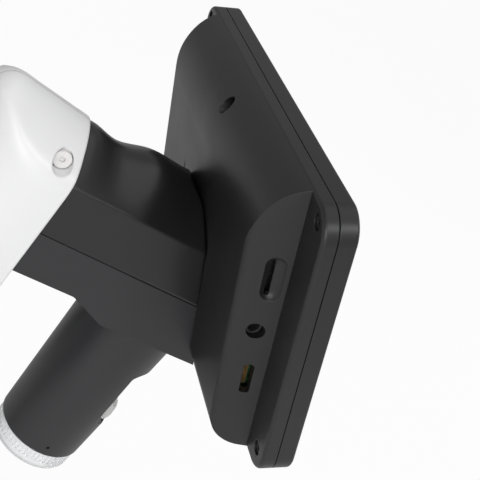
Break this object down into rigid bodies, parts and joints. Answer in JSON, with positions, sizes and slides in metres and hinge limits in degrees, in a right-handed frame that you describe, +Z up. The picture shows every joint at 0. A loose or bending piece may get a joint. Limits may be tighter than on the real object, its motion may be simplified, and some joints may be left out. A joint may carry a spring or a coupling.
{
  "type": "lcd digital microscope",
  "caption": "Upright digital microscope with a tilting screen, a camera barrel with focus wheel and a rack-driven head on a weighted base.",
  "frame": {"origin": "on the table, under the middle of the base", "axes": "+Z up, -Y towards the user, who looks at the screen; X = 0 is the middle plane"},
  "size_m": [0.1474, 0.136, 0.2592],
  "materials": {
    "white_shell": "satin",
    "black_shell": "fine matte",
    "charcoal_shell": "fine matte",
    "light_grey": "matte",
    "clear_cap": "clear polished",
    "screen_glass": "polished",
    "display": "gloss",
    "base_shell": "satin",
    "plate": "matte",
    "steel": "brushed",
    "dark_steel": "black oxide",
    "cast_weight": "as cast",
    "brass": "machined",
    "anodised": "satin",
    "rubber": "matte",
    "stage": "matte",
    "board_green": "satin",
    "cell_wrap": "film",
    "ribbon": "film",
    "lens_glass": "coated",
    "lamp_white": "gloss",
    "button_grey": "satin"
  },
  "bodies": {
    "stand": {"base_cover": "base_shell", "base_plate": "plate", "base_screws": "steel", "pillar_screws": "steel", "ballast_block": "cast_weight", "rubber_feet": "rubber", "stage_plate": "stage", "clip_posts": "steel", "pillar": "steel", "gear_rack": "brass", "rack_stops": "steel"},
    "clip_left": {"stage_clip_left": "steel"},
    "clip_right": {"stage_clip_right": "steel"},
    "head": {"hood_left": "white_shell", "hood_right": "white_shell", "hood_screws": "dark_steel", "column_guide": "light_grey", "neck_upper": "black_shell", "neck_lower": "charcoal_shell", "neck_frame": "steel", "neck_screws": "dark_steel", "hinge_pin": "steel", "hinge_washers": "steel", "barrel_tube": "charcoal_shell", "barrel_clamp": "anodised", "camera_board": "board_green", "image_sensor": "display", "camera_ribbon": "ribbon", "light_ring_board": "board_green", "light_ring_lamps": "lamp_white", "focus_axle": "steel"},
    "drive": {"knob_shaft": "steel", "drive_pinion": "brass", "knob_left": "black_shell", "knob_right": "black_shell"},
    "focus": {"focus_wheel": "light_grey"},
    "lens": {"lens_carriage": "anodised", "front_lens": "lens_glass", "rear_lens": "lens_glass"},
    "cap": {"barrel_cap": "clear_cap"},
    "screen": {"monitor_bezel": "black_shell", "monitor_back": "black_shell", "screen_window": "screen_glass", "display_panel": "display", "main_board": "board_green", "battery_pack": "cell_wrap", "button_board": "board_green", "card_socket": "steel", "video_socket": "brass", "usb_socket": "steel", "audio_jack": "plate", "power_jack": "plate", "monitor_screws": "dark_steel", "hinge_bracket": "dark_steel"},
    "key_power": {"button_power": "button_grey"},
    "key_menu": {"button_menu": "button_grey"},
    "key_up": {"button_up": "button_grey"},
    "key_select": {"button_select": "button_grey"},
    "key_down": {"button_down": "button_grey"},
    "key_snapshot": {"button_snapshot": "button_grey"}
  },
  "joints": [
    {"name": "height_slide", "type": "slide", "parent": "stand", "child": "head", "axis": [0, 0, 1], "range_m": [-0.05, 0.02]},
    {"name": "knob_spin", "type": "hinge", "parent": "head", "child": "drive", "pos_m": [0, 0.04045, 0.121], "axis": [1, 0, 0], "range_deg": [-330, 810]},
    {"name": "screen_tilt", "type": "hinge", "parent": "head", "child": "screen", "pos_m": [0, -0.00588, 0.21082], "axis": [-1, 0, 0], "range_deg": [0, 30]},
    {"name": "lens_slide", "type": "slide", "parent": "head", "child": "lens", "axis": [0, 0, 1], "range_m": [-0.0035, 0.0035]},
    {"name": "focus_spin", "type": "hinge", "parent": "head", "child": "focus", "pos_m": [-0.0059, -0.03183, 0.1258], "axis": [0.8572, -0.515, 0], "range_deg": [-81.5, 81.5]},
    {"name": "cap_pull", "type": "slide", "parent": "head", "child": "cap", "axis": [0, 0, -1], "range_m": [0, 0.012]},
    {"name": "clip_left_swivel", "type": "hinge", "parent": "stand", "child": "clip_left", "pos_m": [-0.032, 0.005, 0.0258], "axis": [0, 0, 1], "range_deg": [-150, 0]},
    {"name": "clip_right_swivel", "type": "hinge", "parent": "stand", "child": "clip_right", "pos_m": [0.032, 0.005, 0.0258], "axis": [0, 0, 1], "range_deg": [0, 150]},
    {"name": "press_power", "type": "slide", "parent": "screen", "child": "key_power", "axis": [0, 0.8829, -0.4695], "range_m": [0, 0.0006], "stiffness_N_per_m": 250, "springref_m": -0.0004},
    {"name": "press_menu", "type": "slide", "parent": "screen", "child": "key_menu", "axis": [0, 0.8829, -0.4695], "range_m": [0, 0.0006], "stiffness_N_per_m": 250, "springref_m": -0.0004},
    {"name": "press_up", "type": "slide", "parent": "screen", "child": "key_up", "axis": [0, 0.8829, -0.4695], "range_m": [0, 0.0006], "stiffness_N_per_m": 250, "springref_m": -0.0004},
    {"name": "press_select", "type": "slide", "parent": "screen", "child": "key_select", "axis": [0, 0.8829, -0.4695], "range_m": [0, 0.0006], "stiffness_N_per_m": 250, "springref_m": -0.0004},
    {"name": "press_down", "type": "slide", "parent": "screen", "child": "key_down", "axis": [0, 0.8829, -0.4695], "range_m": [0, 0.0006], "stiffness_N_per_m": 250, "springref_m": -0.0004},
    {"name": "press_snapshot", "type": "slide", "parent": "screen", "child": "key_snapshot", "axis": [0, 0.8829, -0.4695], "range_m": [0, 0.0006], "stiffness_N_per_m": 250, "springref_m": -0.0004}
  ],
  "couplings": [
    {"joint": "knob_spin", "follows": "height_slide", "rad_per_m": -277.78},
    {"joint": "focus_spin", "follows": "lens_slide", "rad_per_m": 400}
  ]
}
